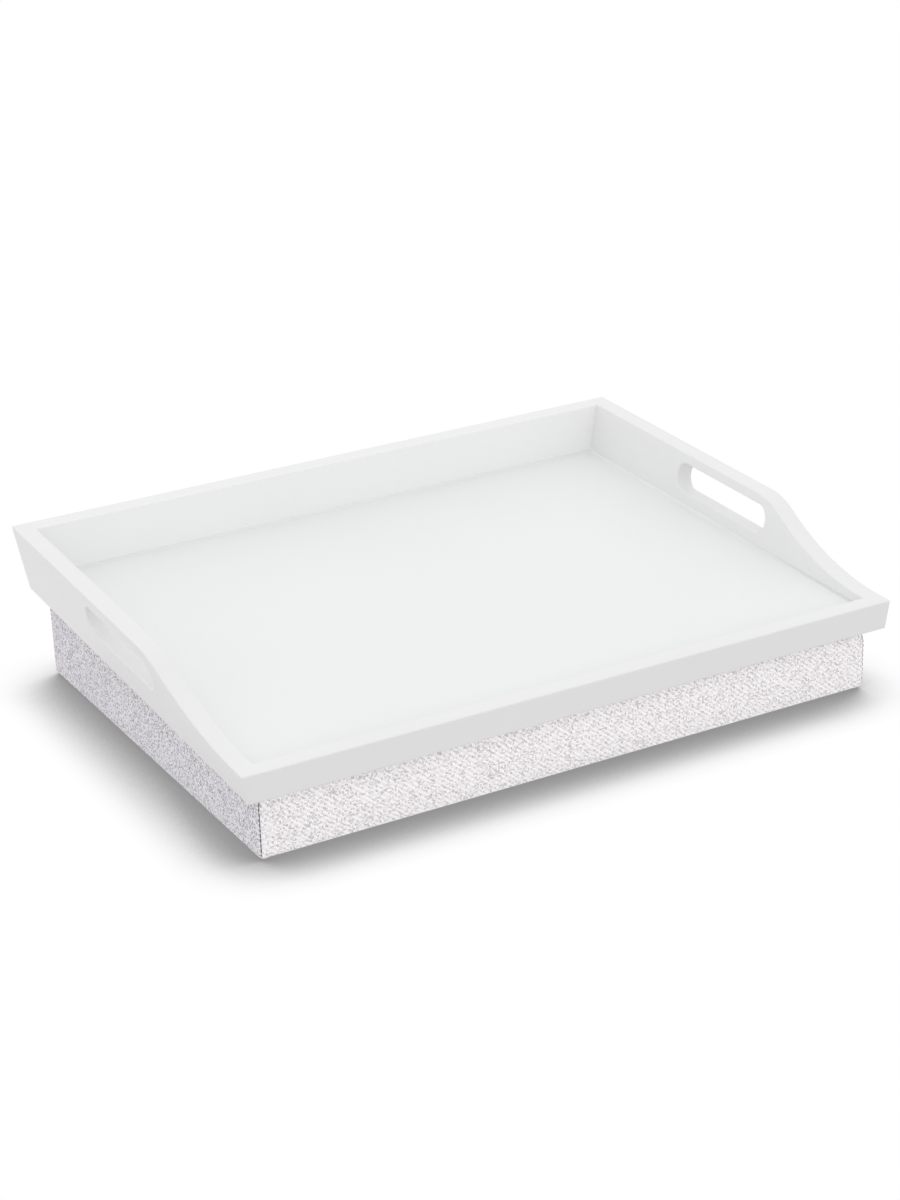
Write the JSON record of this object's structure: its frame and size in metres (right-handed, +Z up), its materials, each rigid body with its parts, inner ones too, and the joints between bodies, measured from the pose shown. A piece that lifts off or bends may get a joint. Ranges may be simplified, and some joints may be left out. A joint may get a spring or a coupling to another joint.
{
  "type": "lap tray",
  "caption": "White painted lap tray with flared slotted ends, a low front lip and a swept fall to it, on a detachable wedge-shaped bead cushion.",
  "frame": {"origin": "centre of the bounding box's base, on the surface that the cushion rests on", "axes": "+X to the user's right along the tray's length, -Y towards the user and the low lip, +Z up"},
  "size_m": [0.4442, 0.3434, 0.1058],
  "materials": {
    "white_paint": "satin",
    "beech": "matte",
    "steel_wire": "satin",
    "nylon_hook": "matte",
    "nylon_loop": "matte",
    "woven_cover": "matte",
    "bag_lining": "matte"
  },
  "bodies": {
    "cushion": {"cover_top": "woven_cover", "cover_bottom": "woven_cover", "cover_front": "woven_cover", "cover_back": "woven_cover", "cover_right": "woven_cover", "cover_left": "woven_cover", "bead_bag": "bag_lining", "loop_strip_back_right": "nylon_loop", "loop_strip_front_right": "nylon_loop", "loop_strip_back_left": "nylon_loop", "loop_strip_front_left": "nylon_loop"},
    "tray": {"base_panel": "white_paint", "front_rail": "white_paint", "back_rail": "white_paint", "right_end_panel": "white_paint", "left_end_panel": "white_paint", "dowel_back_right_lower": "beech", "dowel_back_left_lower": "beech", "dowel_back_right_upper": "beech", "dowel_back_left_upper": "beech", "brad_front_right_lower": "steel_wire", "brad_front_left_lower": "steel_wire", "brad_front_right_upper": "steel_wire", "brad_front_left_upper": "steel_wire", "hook_strip_back_right": "nylon_hook", "hook_strip_front_right": "nylon_hook", "hook_strip_back_left": "nylon_hook", "hook_strip_front_left": "nylon_hook"}
  },
  "joints": [
    {"name": "tray_lift", "type": "slide", "parent": "cushion", "child": "tray", "axis": [0, -0.0535, 0.9986], "range_m": [0, 0.08]}
  ]
}
